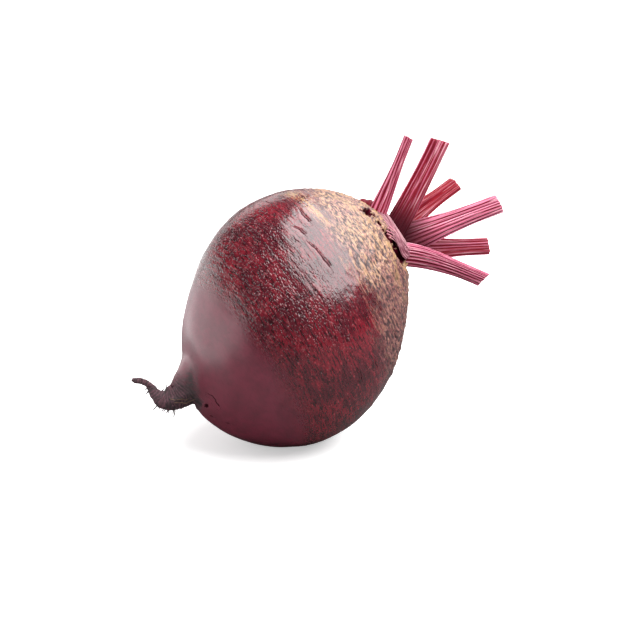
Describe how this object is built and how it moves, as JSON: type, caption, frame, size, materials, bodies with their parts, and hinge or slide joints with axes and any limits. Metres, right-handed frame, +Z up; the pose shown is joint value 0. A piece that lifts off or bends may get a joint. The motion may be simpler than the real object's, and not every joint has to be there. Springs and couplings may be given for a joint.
{
  "type": "beetroot",
  "caption": "Whole beetroot lying on its side: a round swollen root with a bent tap-root tail and a crown of ribbed, cut leaf stalks.",
  "frame": {"origin": "under the middle of the whole object's box, on the surface it rests on", "axes": "+X over the root's axis, from the tail towards the crown and its stalks; +Z up"},
  "size_m": [0.1448, 0.0838, 0.1043],
  "materials": {
    "root_skin": "thin maroon plant skin, satin, corky and tan at the crown",
    "leaf_stalk": "fresh plant stalk, satin, crimson with paler ribs"
  },
  "bodies": {
    "root": {"root": "root_skin", "leaf_stalk_1": "leaf_stalk", "leaf_stalk_2": "leaf_stalk", "leaf_stalk_3": "leaf_stalk", "leaf_stalk_4": "leaf_stalk", "leaf_stalk_5": "leaf_stalk", "leaf_stalk_6": "leaf_stalk"}
  },
  "joints": []
}
